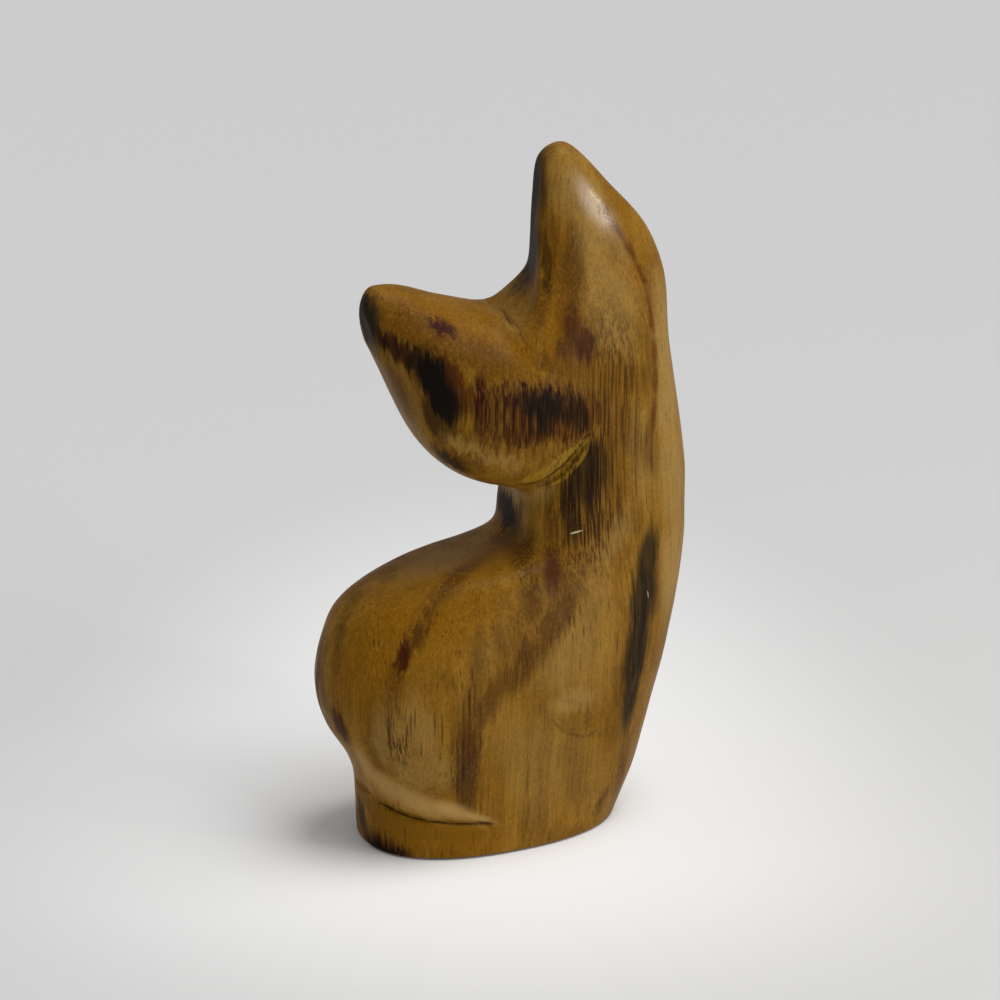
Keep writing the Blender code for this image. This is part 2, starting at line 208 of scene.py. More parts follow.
# The felt pad, cut to the foot and glued into its recess.
feltPad = {
    "corners": 96,
    "squareness": 2.3,  # the foot is a rounded oval: 2 would be an ellipse
    "ovalArea": 1.048,  # area of that oval, as a share of the ellipse's
    "cutEdge": 0.18 * mm,  # scissors leave a slightly soft edge
    "cutSteps": 3,
    "pile": 0.05 * mm,  # how far the pressed wool stands up and down
    "tuft": 0.8 * mm,  # and how wide one rise of it is
    "sideMargin": 0.1 * mm,  # the pile shows on the cut side only, this far from the flat faces
    "rings": 5,  # the flat faces are split into rings of this width
    "ringWidth": 2.4 * mm,
    "hair": 0.35 * mm,
    "hairRelief": 0.12 * mm,
    "darkHair": "#100e0c", "lightHair": "#26231f",
}


def cutFelt():
    low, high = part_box("felt_pad")
    half = (high - low) / 2
    deselectAll()
    bpy.ops.mesh.primitive_cylinder_add(vertices=feltPad["corners"], radius=1.0, depth=half.z * 2,
                                        location=(low + high) / 2)
    pad = bpy.context.object
    pad.name = "feltPad"
    power = 2 / feltPad["squareness"]
    for vertex in pad.data.vertices:
        turn = math.atan2(vertex.co.y, vertex.co.x)
        across, along = math.sin(turn), math.cos(turn)
        vertex.co.x = (half.x - feltPad["pile"]) * math.copysign(abs(along) ** power, along)
        vertex.co.y = (half.y - feltPad["pile"]) * math.copysign(abs(across) ** power, across)
    makeActive(pad)
    bpy.ops.object.transform_apply(location=True, rotation=True, scale=True)
    bpy.ops.object.mode_set(mode="EDIT")
    bpy.ops.mesh.select_mode(type="FACE")
    bpy.ops.mesh.select_all(action="DESELECT")
    bpy.ops.object.mode_set(mode="OBJECT")
    for face in pad.data.polygons:
        face.select = abs(face.normal.z) > 0.9
    bpy.ops.object.mode_set(mode="EDIT")
    for ring in range(feltPad["rings"]):
        bpy.ops.mesh.inset(thickness=feltPad["ringWidth"])
    bpy.ops.object.mode_set(mode="OBJECT")
    applyModifier(pad, "BEVEL", width=feltPad["cutEdge"], segments=feltPad["cutSteps"], limit_method="ANGLE")
    wool = bpy.data.textures.new("pressedWool", "CLOUDS")
    wool.noise_scale = feltPad["tuft"]
    bottom, top = low.z + feltPad["sideMargin"], high.z - feltPad["sideMargin"]
    side = [vertex.index for vertex in pad.data.vertices if bottom < vertex.co.z < top]
    pad.vertex_groups.new(name="side").add(side, 1.0, "REPLACE")
    applyModifier(pad, "DISPLACE", texture=wool, texture_coords="LOCAL", mid_level=0.5,
                  strength=feltPad["pile"], vertex_group="side")
    pad.vertex_groups.clear()
    pad.data.shade_smooth()
    print("felt pad:", len(pad.data.polygons), "faces")
    return pad, math.pi * half.x * half.y * feltPad["ovalArea"]


def addNode(tree, kind, inputs, gives=0, **settings):
    # a socket given as an input is linked, anything else is set; gives is the output that is handed back
    node = tree.nodes.new(kind)
    for name, value in settings.items():
        setattr(node, name, value)
    for key, value in inputs.items():
        if isinstance(value, bpy.types.NodeSocket):
            tree.links.new(value, node.inputs[key])
        else:
            node.inputs[key].default_value = value
    return node.outputs[gives] if node.outputs else node


def newMaterial(name):
    material = bpy.data.materials.new(name)
    material.use_nodes = True
    material.node_tree.nodes.clear()
    return material, material.node_tree


# Carved tropical hardwood, scorched by a flame in places, sanded along the grain and rubbed with oil, which
# gives a satin skin. The grain runs up the figure, so pores are lines on upright faces and dots where a face
# looks up.
woodGrain = {
    "plain": "#7c5412",
    "poreTint": "#1d0f05",
    "poreGap": 0.85,  # mm between pores across the grain
    "poreRun": 16.0,  # mm that the pores take to repeat along it
    "poreCore": (0.27, 0.16),  # where a pore's edge starts and ends, as a share of the gap
    "poreDark": 0.80,  # how far a pore goes to the pore tint
    "patchy": (0.42, 0.66),  # where the pattern of open pores starts and is full
    "patchyShare": (0.10, 0.60),  # and how far the pores stand open at either
    "vessels": (0.48, 0.60),  # the same for the vessel lines, which lie in the fibre
    "vesselDark": 0.62,
    "missed": (0.56, 0.40),  # and for the light fibres that the flame missed
    "drift": 30.0,  # mm over which the grain leans one way
    "driftBy": 1.6,  # mm that it leans
    "feather": 3.4,  # mm that the edge of a burn runs up and down the fibres
    "ragged": 2.4,  # mm that it strays at random
    "raggedDrawn": (0.30, 0.30, 0.05),  # how often in a mm, across the grain and along it
}

# patterns drawn out along the grain: mm across it, mm along it, detail, roughness
woodPatterns = {
    "fibre": (0.36, 26.0, 2.0, 0.55),
    "comb": (0.85, 30.0, 2.0, 0.6),
    "band": (2.8, 90.0, 3.0, 0.55),
    "blotch": (5.5, 10.0, 4.0, 0.62),
    "cloud": (15.0, 26.0, 2.0, 0.5),
    "stipple": (0.34, 0.6, 2.0, 0.7),
    "open": (5.0, 16.0, 2.0, 0.5),
}

# tones laid over the plain wood: the pattern, where it starts and is full, how strong, what colour
woodTones = [
    ("band", 0.38, 0.72, 0.75, "#946c22"),
    ("cloud", 0.40, 0.75, 0.45, "#69480c"),
    ("blotch", 0.46, 0.74, 0.68, "#573808"),
    ("blotch", 0.50, 0.24, 0.35, "#967226"),
]

# fine tones that show through the stain marks and the light and shade painted among them, but not through the
# burn marks and the light and shade painted among those
grainTones = [
    ("fibre", 0.46, 0.78, 0.28, "#362007"),
    ("fibre", 0.50, 0.22, 0.15, "#b08a38"),
    ("stipple", 0.50, 0.74, 0.33, "#362007"),
    ("stipple", 0.50, 0.24, 0.16, "#ac8628"),
]

# Stains, with light and shade painted among them, each as strokes through the wood: points in mm, half width,
# how strong.
# A feathered edge runs along the fibres, a crisp one is where the knife cut. Fibres that took neither stain
# nor flame show as gaps.
stainsWithPaintedLightAndShade = {
    # a pale stain, and painted light: the right edge lit from the right, the tail of the glint on the upright
    # ear, and light painted over the head's shadow on the haunch top
    "tanAndPaintedLight": {"tint": "#98783f", "soft": 0.45, "feathered": True, "gaps": 0.0, "strokes": [
        # painted light: the right edge, lit from the right
        ([(29.8, -7.9, 98), (29.8, -9.6, 82), (30.6, -10.7, 72), (32.4, -10.6, 55), (31.2, -10.9, 40)],
         2.9, 0.85),
        ([(33, 2, 98), (36, 1, 60), (33, 2, 20)], 8.0, 0.6),
        ([(14, -4, 118), (18.2, -7.7, 101), (20.5, -11.1, 91)], 4.2, 0.55),
        ([(24, -12, 76), (26, -12, 62)], 2.4, 0.5),
        ([(-19, -15, 21), (-16, -15.5, 17)], 3.0, 0.5),
        ([(5.4, -5.3, 60), (5.2, -5.4, 54)], 0.9, 0.5),
        ([(-18.2, -2.9, 86), (-14.8, -3.2, 77)], 2.3, 0.6),
        ([(14, -15, 46), (13, -15.5, 30)], 4.5, 0.35),
        ([(-2, -16.5, 24), (4, -16, 8)], 4.0, 0.30),
        ([(12, 12, 96), (18, 12, 60)], 8.0, 0.4),
        ([(-12, 14, 30), (10, 15, 12)], 7.0, 0.4),
        ([(-20, -14, 30), (-17.5, -14, 20)], 2.6, 0.6),
        ([(6, -16.6, 33), (14, -15.5, 40)], 4.2, 0.45),
        ([(2, -16.5, 22), (12, -16, 10)], 5.0, 0.3),
        ([(5.6, 4, 59.8), (7.3, -9.3, 63.6)], 1.6, 0.9),
        ([(-7, -3, 95.6), (-1, -6, 91.6)], 1.2, 0.5),
        ([(-5.2, 0.3, 95.8), (-0.6, -5.9, 91.5)], 0.88, 0.6),
        ([(-10.7, -8.1, 75.4), (-5.8, -10.2, 72.7), (0.7, -11.2, 69.7)], 1.17, 0.55),
        ([(5.4, 1.7, 60.7), (7.4, -9.2, 63.6)], 1.17, 0.6),
        # painted light over the head's shadow on the haunch top
        ([(-11.5, 0.7, 50.3), (-4.1, 0.2, 51.4)], 1.75, 0.6),
        ([(-24.4, -11.4, 31.7), (-23.7, -10.3, 20.1)], 1.46, 0.6),
        ([(6.5, -16.6, 26.8), (12.9, -16.2, 27.8)], 2.05, 0.65),
        ([(1.6, -0.7, 94.1), (3.6, -5.3, 92.5)], 1.46, 0.55),
        ([(-22.2, -11.9, 19.3), (-18.4, -13.5, 15.1)], 1.17, 0.6),
        ([(15.9, -13.5, 50.9), (21.8, -12.5, 58.6)], 1.75, 0.45),
        # painted highlight: the tail of the glint on the upright ear
        ([(21.9, -6, 106.8), (23.3, -7, 103)], 1.17, 0.5),
        ([(6.1, 4.9, 95.9), (9.2, 4.9, 98.2)], 0.88, 0.6),
        # painted light over the head's shadow on the haunch top
        ([(-13.6, -2.5, 50), (-4.2, -0.8, 51.4)], 2.92, 0.9),
        ([(-23.6, -12.1, 31.5), (-19.7, -13.2, 16.8)], 2.05, 0.5),
        ([(3.1, 4, 94.3), (2.7, -7.3, 91.7)], 1.75, 0.5),
    ]},
    "ochre": {"tint": "#784e02", "soft": 0.45, "feathered": True, "gaps": 0.0, "strokes": [
        ([(-18, -1.5, 97), (-6.2, -6.5, 92), (2, -10.3, 86.5)], 4.2, 0.9),
        ([(-9, -3, 96), (0, -3, 94)], 4.0, 0.8),
        ([(12, -4, 110), (11.4, -6, 102), (8.8, -10.4, 91), (9, -12, 85)], 2.2, 0.8),
        ([(14, -12, 86), (22, -12, 80)], 3.0, 0.5),
        ([(-11, -12, 46), (-23, -9, 42), (-26, -8, 33)], 5.5, 0.8),
        ([(-16, -3, 49), (1, -6, 50)], 4.6, 0.6),
        ([(-8.2, -9.8, 87), (-8.0, -9.9, 80)], 1.1, 0.9),
        ([(-22.6, -4, 4), (-16, -12, 3.4), (-8, -15, 2.8)], 3.0, 0.9),
        ([(-14, 6, 94), (2, 8, 88)], 7.0, 0.7),
        ([(-20, 10, 42), (0, 14, 44)], 8.0, 0.6),
    ]},
    # a brown stain, and painted shade: the shadow below the shoulder along the haunch top, the valley between
    # haunch and chest, and the shade low on the right side
    "umberAndPaintedShade": {"tint": "#432607", "soft": 0.45, "feathered": True, "gaps": 0.55, "strokes": [
        ([(-16.4, -4.2, 92.8), (-6.6, -9, 88.2)], 2.18, 0.5),
        ([(10.1, -2, 117.2), (8.3, -7.1, 96.9)], 1.01, 0.75),
        ([(11.7, -4, 110.6), (9.7, -6.7, 98.4)], 1.01, 0.5),
        ([(8.2, -7, 96.9), (6, -9, 92.7)], 1.01, 0.55),
        ([(13, -5.2, 106.4), (9.7, -10.6, 91.5)], 1.17, 0.5),
        ([(14.5, -12, 70.1), (13.6, -12.6, 54.1)], 4.04, 0.8),
        ([(9.8, -10.8, 63.2), (5.6, -14.2, 47.2)], 2.01, 0.65),
        # painted shade: the shadow below the shoulder, along the haunch top
        ([(-4.1, -5.1, 51.2), (-13.6, -10.4, 47.4)], 1.52, 0.7),
        ([(-13.6, -10.4, 47.4), (-21.6, -11.9, 36.9)], 1.35, 0.8),
        ([(-21.5, -11.5, 38.2), (-23.2, -12.9, 29.5)], 1.01, 0.5),
        # brown stain, and painted shade in the valley between haunch and chest
        ([(9.9, -14.3, 47.3), (4.2, -16, 38.7)], 2.36, 0.8),
        ([(4.8, -15.9, 39.5), (-5.2, -16.9, 31.9)], 2.52, 0.75),
        ([(-4.3, -16.8, 32.8), (-10.6, -17.3, 26.7)], 2.18, 0.65),
        ([(-11, -17.2, 29), (-9.9, -14.7, 9.1)], 2.01, 0.9),
        ([(-29.8, 2.1, 38.5), (-31, -1.5, 28.1)], 1.17, 0.7),
        ([(-25.2, -0.4, 45.9), (-29.6, -4.5, 37.1)], 1.35, 0.5),
        # painted shade low on the right side, near the foot
        ([(22.1, -12.9, 17.2), (20.8, -10.6, 3.9)], 1.52, 0.5),
        ([(18.3, -13.1, 7.3), (15.8, -13.4, 3.6)], 0.84, 0.6),
        ([(-23.2, -12.9, 28.6), (-23, -11.9, 21.5)], 0.37, 0.85),
        ([(-21.1, -14.5, 27.2), (-21, -14, 22.1)], 0.3, 0.6),
        ([(2.9, 0.5, 53.2), (3.8, -6.7, 53.1)], 1.52, 0.6),
        ([(18.7, -12.2, 69.6), (18.3, -12.4, 61.6)], 2.01, 0.5),
        ([(-19, -2, 96), (-9, -7.4, 91), (0, -10.8, 87)], 2.8, 0.55),
        ([(11.5, -9.9, 94.1), (14.4, -11.8, 88.3)], 2.3, 0.55),
        ([(16.2, -12.2, 81.1), (17.7, -12.2, 70.2)], 1.9, 0.65),
        ([(-18.5, -2.7, 87), (-14.9, -2.6, 77.8)], 2.2, 0.7),
        ([(-8.5, -8.6, 76.2), (2.5, -11.4, 72.4)], 1.7, 0.5),
        ([(-11.2, -5, 72), (-5, -9, 70)], 1.8, 0.6),
        ([(16, -12, 86), (24, -11.6, 82)], 2.99, 0.35),
        ([(16, 12, 84), (14, 12, 52)], 5.75, 0.55),
        ([(-6, 15, 40), (-10, 15, 8)], 2.99, 0.6),
        ([(4, -6, 53.4), (2.5, -14.6, 44.9)], 2.3, 0.85),
        ([(5.9, -15.1, 43.8), (11.1, -12.6, 52.5)], 1.32, 0.5),
        ([(14.3, -5.5, 106.7), (12.7, -8.9, 96.5)], 1.75, 0.75),
        ([(11.3, -11.1, 90.5), (12.2, -12.1, 84.7)], 1.46, 0.45),
        ([(19.5, -12.2, 79.3), (23.3, -12.2, 68.4)], 1.9, 0.5),
        ([(25.7, -11.9, 74), (26.6, -12, 65.8)], 1.32, 0.55),
        ([(16.5, -10.1, 94.6), (16.3, -11.8, 88.4)], 1.46, 0.45),
        ([(-6.4, -10.8, 80.3), (-2.7, -11.6, 74.8)], 1.17, 0.6),
        ([(-2.3, -11.6, 74.6), (8.3, -12.9, 74.3)], 1.17, 0.55),
        ([(-7.6, -15.3, 40.9), (-9.2, -17.1, 32.7)], 1.75, 0.5),
        ([(9.2, -16, 20.7), (10.6, -15.3, 7.7)], 2.05, 0.35),
        ([(8, -9.8, 61.7), (6.9, -13.1, 50.3)], 1.32, 0.55),
        ([(5.2, -15, 43.9), (11.3, -12.7, 52.4)], 1.17, 0.5),
        ([(19.8, -9.9, 94.9), (26.4, -10.9, 86.7)], 2.05, 0.3),
        ([(-10.6, -5.8, 92.7), (-5.4, -8, 89.9)], 1.46, 0.4),
        ([(4.7, -10.5, 88), (8.8, -11.8, 85.1)], 1.32, 0.45),
        ([(16.5, -10.6, 93), (16.3, -11.8, 88.1)], 1.32, 0.4),
        ([(15.4, -12.4, 76), (17.1, -12.2, 67.1)], 1.17, 0.5),
        ([(-4.1, -15.4, 41.1), (-3.7, -16.6, 34.9)], 1.46, 0.45),
    ]},
    "redHeart": {"tint": "#5b3209", "soft": 0.55, "feathered": False, "gaps": 0.0, "strokes": [
        ([(19.5, -5.2, 112), (23.6, -6.2, 105.6), (25.4, -7.1, 102), (27, -8.4, 97), (27.4, -10.1, 89),
          (27.5, -10.8, 84), (27.3, -11.2, 79), (26.6, -11.7, 72)], 0.62, 0.9),
        ([(26.6, -7.5, 101), (28.2, -9, 92)], 1.3, 0.35),
    ]},
}

# Burn marks and fresh cuts, written the same way, with painted shade and painted light among them
burnsCutsWithPaintedLightAndShade = {
    "oxblood": {"tint": "#330d04", "soft": 0.38, "feathered": True, "gaps": 0.38, "strokes": [
        ([(-11, -4.4, 94.4), (-9.2, -5.5, 93)], 1.38, 0.95),
        ([(-20.1, -1.6, 93.3), (-19, -2.8, 90.2)], 0.72, 0.85),
        ([(-18.5, -3, 92.8), (-17.5, -4.3, 88.7)], 0.83, 0.9),
        ([(-16.7, -4.5, 91.4), (-15.9, -5.5, 87.8)], 0.72, 0.8),
        ([(-11.5, -7.7, 88.5), (-9.1, -9.5, 84.1)], 1.46, 0.85),
        ([(-5.4, -10.3, 85.6), (-5.5, -11, 76.6)], 0.95, 1),
        ([(-10.6, -8.0, 84.0), (-5.2, -11.2, 80.4)], 2.3, 0.8),
        ([(-4.6, -11.2, 82.2), (4.5, -12.2, 81.6)], 2.0, 0.85),
        ([(-3.8, -11.6, 80.6), (14.1, -12.6, 78)], 3.11, 0.92),
        ([(-2.4, -11.9, 77.2), (11.8, -12.7, 75.1)], 2.19, 0.85),
        ([(12.2, -9.3, 95.6), (11.4, -11.4, 89.2)], 1.27, 0.7),
        ([(14, -11.1, 91), (13.5, -11.8, 88)], 1.65, 0.8),
        ([(10.2, -11.1, 90.2), (9, -11.4, 88.4)], 1.1, 0.6),
        ([(-20.2, -11.5, 40), (-21.2, -12.3, 36.8)], 0.91, 0.85),
        ([(-30.1, -4.4, 27.2), (-28.4, -4.6, 22.3)], 1.38, 0.85),
        # darkens the foot along its bottom edge
        ([(-23.6, -2.1, 1.9), (-19.9, -9.6, 1.1)], 1.65, 0.75),
        ([(7.7, -11.8, 52.3), (6.2, -14.1, 47.5)], 1.46, 0.7),
        ([(-9, 9, 88), (-2, 10, 80)], 4.58, 0.8),
        ([(-2.7, -11.6, 75.4), (2.5, -12.5, 74.2)], 1.02, 0.6),
        ([(2.5, -12.5, 74.2), (8.7, -12.9, 74.8)], 1.02, 0.6),
        ([(-6.3, -10.8, 81.7), (-5.6, -10.7, 74.6)], 0.88, 0.6),
    ]},
    "char": {"tint": "#0d0804", "soft": 0.34, "feathered": True, "gaps": 0.12, "strokes": [
        ([(-13.9, -6.5, 89.1), (-12.1, -8, 82.4)], 2.13, 1),
        ([(-12.4, -7.9, 84.6), (-10.6, -8.8, 78.9)], 2.32, 1),
        ([(-15.4, -5.4, 90.4), (-14.5, -6.5, 86.5)], 1.24, 0.9),
        ([(-13.5, -7, 81.6), (-11.5, -7.5, 75.9)], 1.61, 0.75),
        ([(2.5, -12.5, 80.9), (7.9, -13, 78.8)], 2.13, 0.97),
        ([(4.9, -12.6, 81.5), (5.6, -12.9, 76.3)], 1.61, 0.9),
        ([(10.8, -12.6, 80.8), (13, -12.7, 75.6)], 1.43, 0.7),
        ([(13.8, -11.9, 71.4), (13.6, -12, 62.1)], 2.13, 0.85),
        ([(16.8, -12.1, 70.4), (16.6, -12.3, 64.3)], 1.43, 0.6),
        ([(11.9, -11.5, 66.1), (11.1, -11.8, 56.6)], 1.43, 0.7),
        ([(-19.5, -2.2, 92.5), (-19, -2.8, 90.7)], 0.46, 0.85),
        ([(-17.7, -3.7, 92), (-17.2, -4.5, 88.9)], 0.54, 0.8),
        # darkens the foot along its bottom edge
        ([(-23.5, -1.8, 0.8), (-19.8, -9.4, 0.5)], 1.24, 0.97),
        ([(10, -3.3, 107.2), (9, -6.5, 98.1)], 0.71, 0.6),
        ([(24.7, -13.3, 49.9), (23.2, -14, 31.7)], 0.54, 0.6),
        ([(-5, 11, 86), (-2, 11.5, 74)], 3.57, 0.85),
        # darkens the foot along its bottom edge
        ([(-22.2, 4, 3), (-15, 12, 0)], 2.68, 0.7),
    ]},
    # sooty burns, and painted shade: on the low ear's blunt end, which faces away from the light, in the
    # notch at the nape, and under the chin
    "smokeAndPaintedShade": {"tint": "#271f12", "soft": 0.35, "feathered": True, "gaps": 0.15, "strokes": [
        # painted shade on the low ear's blunt end, which faces away from the light
        ([(-22.3, 0.8, 98), (-21.6, 0.4, 90)], 2.52, 1),
        ([(-21.2, 1.8, 98.3), (-20.2, 2.2, 90.5)], 1.92, 1),
        ([(8.2, 2.6, 121), (8.4, 2.6, 110), (8.4, 3, 100)], 4.08, 1),
        ([(10.4, 0.9, 118.4), (9.9, 1.6, 101.5)], 1.22, 0.9),
        # painted shade in the notch at the nape
        ([(5.4, 4.9, 58.6), (5, -0.9, 56.3)], 2.46, 1),
        ([(26.6, -12.5, 54.4), (24.6, -13.6, 46)], 1.68, 0.9),
        ([(25.2, -13.6, 49), (23.2, -14.4, 36)], 2.52, 1),
        ([(24, -14.2, 41), (22.2, -14.2, 27)], 2.28, 1),
        ([(22.8, -14.1, 32), (21.4, -13.4, 19)], 1.56, 0.95),
        # darkens the foot's left rim, low down
        ([(-24.2, 2, 8), (-24, -1, 3)], 1.5, 0.8),
        ([(-30.9, 1, 35), (-30.6, 1.5, 26.2)], 0.7, 0.6),
        # painted shade under the chin
        ([(-11.2, -5.9, 72.6), (-6.6, -7.1, 68.4)], 1.22, 0.8),
        ([(30, 10, 60), (26, 12, 30)], 3.52, 0.8),
    ]},
    "comb": {"tint": "#2c1705", "soft": 0.50, "feathered": False, "gaps": 0.0, "strokes": [
        ([(-13, -17.1, 25), (-12.5, -16.3, 18.5), (-11.7, -14.4, 11.2)], 0.2, 0.7),
        ([(-11.8, -17.1, 31.3), (-11.8, -16.9, 21.6), (-10.6, -14.6, 10.3)], 0.22, 0.8),
        ([(-10.6, -17, 32.9), (-10.6, -16.9, 22.1), (-9.6, -14.9, 9.9)], 0.22, 0.8),
        ([(-9.7, -17, 32.7), (-9.5, -16.8, 21.9), (-8.7, -15.1, 9.6)], 0.2, 0.75),
        ([(-8.7, -17.2, 30.1), (-8.3, -16.4, 20.8), (-7.7, -15.3, 9.3)], 0.22, 0.8),
        ([(-20.1, -1.6, 93.3), (-19.8, -1.9, 90.4)], 0.3, 0.85),
        ([(-19.1, -2.5, 93.1), (-18.6, -3.2, 89.9)], 0.32, 0.9),
        ([(-18.1, -3.3, 92.8), (-17.6, -4.1, 89)], 0.3, 0.9),
        ([(-17, -4.1, 92), (-16.7, -4.9, 88)], 0.32, 0.85),
    ]},
    # painted light: the cut facet over the tail, lit by a painted reflection of the pale floor
    "paleCutAndPaintedLight": {"tint": "#a5834a", "soft": 0.62, "feathered": False, "gaps": 0.0, "strokes": [
        ([(-26.6, -5.6, 19.9), (-23.8, -4.8, 13.4)], 1.46, 0.8),
        ([(-24.5, -4.8, 15.4), (-20.3, -10, 12.2)], 1.9, 0.9),
        ([(-21.3, -9.3, 13.6), (-15.2, -13, 9.6)], 1.9, 0.95),
        ([(-16.6, -12.8, 11.2), (-9.5, -14.6, 8.1)], 1.17, 1),
        ([(-11.6, -14.2, 9.2), (-6.2, -15.3, 6.9)], 0.66, 1),
    ]},
    "goldCut": {"tint": "#8f6c1e", "soft": 0.22, "feathered": False, "gaps": 0.0, "strokes": [
        ([(14, -11.9, 72.8), (10, -11.8, 70.4)], 0.8, 0.9),
        ([(10.7, -11.9, 71.1), (6.9, -11.2, 68.2)], 0.95, 0.9),
        ([(7.6, -11.3, 68.4), (3.2, -9.5, 66.2)], 1.02, 0.9),
        ([(13.6, -11.8, 71.6), (11.0, -11.0, 67.8), (8.4, -10.4, 65.8)], 0.85, 0.75),
    ]},
    "footBand": {"tint": "#734d06", "soft": 0.14, "feathered": False, "gaps": 0.0, "strokes": [
        ([(-23.6, 3.2, 9.4), (-23.4, -3.8, 8.4)], 1.17, 0.95),
        ([(-23.6, -2.5, 7.9), (-20.7, -9.1, 6.8)], 1.39, 0.95),
        ([(-21.5, -8.1, 6.3), (-15.2, -13, 5.6)], 1.46, 0.95),
        ([(-16.2, -12.5, 5.4), (-7.8, -15.2, 4.7)], 1.17, 0.95),
    ]},
    # painted shade in the bottoms of the knife creases: over the tail, under the jaw, between the ears and
    # along the dent
    "paintedCreaseShade": {"tint": "#241505", "soft": 0.50, "feathered": False, "gaps": 0.0, "strokes": [
        ([(-24.3, -0.1, 12.8), (-23.3, -2.7, 10.4)], 0.19, 0.8),
        ([(-23.3, -2.2, 10.4), (-22.4, -5.9, 9.4)], 0.19, 0.85),
        ([(-22.5, -5.7, 9.5), (-20.5, -8.2, 8.5)], 0.19, 0.85),
        ([(-20.8, -7.8, 8.6), (-18.5, -10.2, 7.8)], 0.19, 0.85),
        ([(-18.8, -9.9, 7.9), (-16.1, -11.5, 7.3)], 0.19, 0.85),
        ([(-16.4, -11.4, 7.3), (-12.3, -13.2, 6.7)], 0.18, 0.8),
        ([(-12.6, -13.1, 6.7), (-7.6, -14.6, 6.4)], 0.16, 0.75),
        ([(-7.9, -14.5, 6.6), (-5.6, -15.4, 6.3)], 0.26, 0.85),
        ([(14, -12.1, 73.2), (12, -11.6, 71)], 0.18, 0.8),
        ([(12.2, -11.7, 71.2), (9.8, -11.1, 68.6)], 0.19, 0.85),
        ([(10, -11.2, 68.8), (7.2, -10.3, 66.6)], 0.19, 0.85),
        ([(7.3, -10.4, 66.8), (4.1, -8.5, 65.1)], 0.18, 0.75),
        ([(3.9, 0.6, 93.7), (2.8, -7.8, 91.2)], 0.23, 0.7),
        ([(5.4, -16.5, 24.2), (8.2, -16.2, 21.2), (12.6, -15.6, 19.6), (14.6, -15.3, 20.4)], 0.3, 0.30),
    ]},
}

# where the pores stand open and dark
openPores = {"soft": 0.45, "strokes": [
    ([(-6, -11, 80), (14, -12.8, 78)], 4.4, 1.0),
    ([(14, -12, 78), (14, -12.4, 54)], 5.6, 1.0),
    ([(19, -12, 90), (20, -12, 72)], 4.2, 0.7),
    ([(24, -14, 52), (22, -13, 22)], 2.6, 0.8),
    ([(-22, -13.6, 28), (-21.8, -13.3, 21)], 2.0, 0.9),
    ([(14, 12, 90), (12, 12, 40)], 7.0, 0.8),
]}

# where fingers have polished the upright ear
polished = {"soft": 0.55, "strokes": [([(16.6, -4.5, 115.2), (21.6, -5.7, 107.8)], 1.9, 1.0)]}

scratches = {"tint": "#cabf9f", "soft": 0.3, "strokes": [
    ([(10.4, -11.9, 56.2), (13.0, -12.2, 56.7)], 0.13, 0.75),
    ([(25.2, -13.4, 44.6), (25.5, -13.5, 43.0)], 0.10, 0.75),
    ([(26.4, -12.7, 47.6), (26.5, -12.7, 46.4)], 0.10, 0.75),
]}

# oil sits unevenly, scorched wood and the shade painted among the sooty marks take less of it, and fingers
# polish it
oilSkin = {
    "roughness": (0.40, 0.50),
    "uneven": (0.3, 0.8),  # where the blotches start and are full
    "burntAndPaintedShadeRougher": 0.10,
    "poresRougher": 0.20,
    "polishedRoughness": 0.19,
    "gloss": (0.06, 0.45),  # plain, and where it is polished
    "index": 1.48,
    "relief": 0.06 * mm,  # and how much of it is fibre, stipple and pore
    "fibreShare": 0.40,
    "stippleShare": 0.35,
    "poreShare": -0.45,
    "reliefStrength": 0.6,
}


# a stroke is a row of long eggs through the wood, full in the middle and nothing outside
strokeShape = {
    "swell": 1.3,  # an egg is this much wider than the stroke, because the surface seldom cuts its middle
    "fade": 1.3,  # how much of the softness is taken from the full core; the rest lies outside the stroke
}


def addStrokes(tree, place, strokes, soft):
    total = None
    edge, core = 1 + soft, 1 - strokeShape["fade"] * soft
    for points, width, strength in strokes:
        for start, end in zip(points, points[1:]):
            a, b = Vector(start), Vector(end)
            turn = (b - a).to_track_quat("X", "Z").to_euler()
            thick = width * strokeShape["swell"]
            size = Vector(((b - a).length / 2 + width, thick, thick)) * edge
            egg = addNode(tree, "ShaderNodeMapping", {"Vector": place, "Location": (a + b) / 2,
                                                      "Rotation": turn, "Scale": size}, vector_type="TEXTURE")
            inward = addNode(tree, "ShaderNodeTexGradient", {"Vector": egg}, gives="Fac",
                             gradient_type="SPHERICAL")
            mark = addNode(tree, "ShaderNodeMapRange", {"Value": inward, "From Max": 1 - core / edge,
                                                        "To Max": strength}, interpolation_type="SMOOTHSTEP")
            total = mark if total is None else addNode(tree, "ShaderNodeMath", {0: total, 1: mark},
                                                       operation="MAXIMUM")
    return total


def layTones(tree, colour, patterns, tones):
    for pattern, start, full, strength, tint in tones:
        amount = addNode(tree, "ShaderNodeMapRange", {"Value": patterns[pattern], "From Min": start,
                                                      "From Max": full, "To Max": strength},
                         interpolation_type="SMOOTHSTEP")
        colour = addNode(tree, "ShaderNodeMix", {0: amount, 6: colour, 7: linear(tint)}, gives=2,
                         data_type="RGBA")
    return colour


def layMarks(tree, colour, marks, masks, crispPlace, burnPlace, missed):
    # the marks' own masks are kept under their names, because the oil looks at them too
    for name, mark in marks.items():
        place = burnPlace if mark["feathered"] else crispPlace
        masks[name] = addStrokes(tree, place, mark["strokes"], mark["soft"])
        taken = addNode(tree, "ShaderNodeMath", {0: missed, 1: -mark["gaps"], 2: 1.0},
                        operation="MULTIPLY_ADD")
        amount = addNode(tree, "ShaderNodeMath", {0: masks[name], 1: taken}, operation="MULTIPLY")
        colour = addNode(tree, "ShaderNodeMix", {0: amount, 6: colour, 7: linear(mark["tint"])}, gives=2,
                         data_type="RGBA")
    return colour


